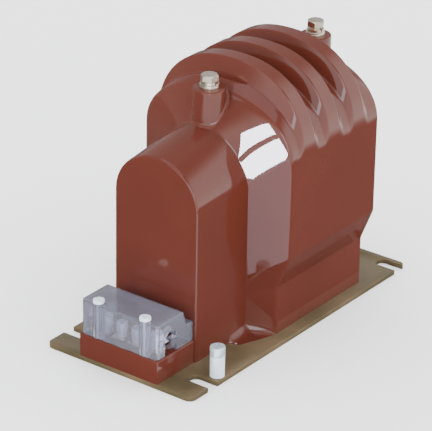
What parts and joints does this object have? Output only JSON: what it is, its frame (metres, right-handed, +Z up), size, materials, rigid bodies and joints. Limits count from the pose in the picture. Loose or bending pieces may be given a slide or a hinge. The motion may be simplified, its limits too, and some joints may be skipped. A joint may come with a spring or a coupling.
{
  "type": "cast resin voltage transformer",
  "caption": "Indoor cast-resin voltage transformer: ribbed barrel body on a steel base plate, bolted high-voltage terminals on top and a low-voltage terminal box under a clear cover.",
  "frame": {"origin": "middle of the base plate's underside", "axes": "+X across the base plate, +Y along the base plate to the rear, away from the low-voltage terminal box, +Z up"},
  "size_m": [0.148, 0.302, 0.226],
  "materials": {
    "resin": "glossy cast epoxy",
    "base_zinc": "yellow passivated zinc",
    "bright_plate": "bright plated",
    "insert_brass": "turned",
    "core_steel": "wound strip",
    "copper_wire": "enamelled copper wire",
    "former_board": "moulded",
    "cover_clear": "clear moulded plastic"
  },
  "bodies": {
    "root": {"base_plate": "base_zinc", "resin_body": "resin", "core_front_half": "core_steel", "core_rear_half": "core_steel", "core_band": "bright_plate", "winding_former": "former_board", "secondary_winding": "copper_wire", "primary_winding": "copper_wire", "hv_leads": "copper_wire", "primary_inserts": "insert_brass", "primary_bolts": "bright_plate", "primary_flat_washers": "bright_plate", "primary_spring_washers": "bright_plate", "secondary_leads": "copper_wire", "secondary_inserts": "insert_brass", "terminal_clamps": "bright_plate", "terminal_washers": "bright_plate", "terminal_screws": "bright_plate", "terminal_cover": "cover_clear", "cover_inserts": "insert_brass", "cover_screws": "bright_plate", "earth_post": "bright_plate", "earth_washer": "bright_plate", "earth_screw": "bright_plate", "base_inserts": "insert_brass", "base_screws": "bright_plate"}
  },
  "joints": []
}
